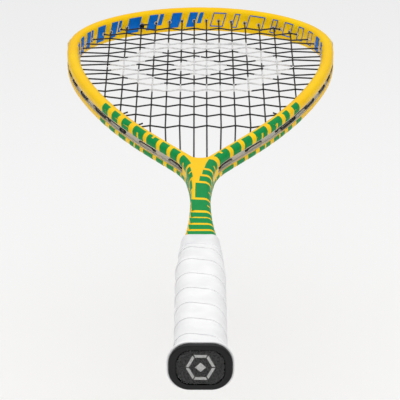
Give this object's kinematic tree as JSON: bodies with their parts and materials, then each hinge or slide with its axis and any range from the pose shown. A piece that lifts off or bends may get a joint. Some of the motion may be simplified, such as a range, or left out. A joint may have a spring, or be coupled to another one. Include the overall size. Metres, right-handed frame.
{
  "type": "squash racket",
  "caption": "Squash racket: teardrop hollow carbon hoop that narrows to an open throat and slim shaft, strung with a woven bed, with a tape-wrapped grip and a flanged butt cap.",
  "frame": {"origin": "centre of the butt cap's end face", "axes": "+Y along the racket from the butt to the tip of the head, +Z normal to the string bed, +X to the right"},
  "size_m": [0.2144, 0.686, 0.0302],
  "materials": {
    "lacquered_carbon": "glossy",
    "tube_foam": "matte",
    "clear_nylon": "satin",
    "string_nylon": "satin",
    "pallet_foam": "matte",
    "cap_nylon": "satin",
    "staple_steel": "brushed",
    "badge_foil": "glossy",
    "badge_resin": "glossy",
    "grip_tape": "matte",
    "band_tape": "satin"
  },
  "bodies": {
    "root": {"frame": "lacquered_carbon", "tube_end_plug": "tube_foam", "head_bumper": "clear_nylon", "grommet_strip_left": "clear_nylon", "grommet_strip_right": "clear_nylon", "main_string": "string_nylon", "cross_string": "string_nylon", "tie_off_knots": "string_nylon", "handle_pallet": "pallet_foam", "butt_cap": "cap_nylon", "cap_staples": "staple_steel", "badge_plate": "badge_foil", "badge_dome": "badge_resin", "grip_wrap": "grip_tape", "finishing_tape": "band_tape"}
  },
  "joints": []
}
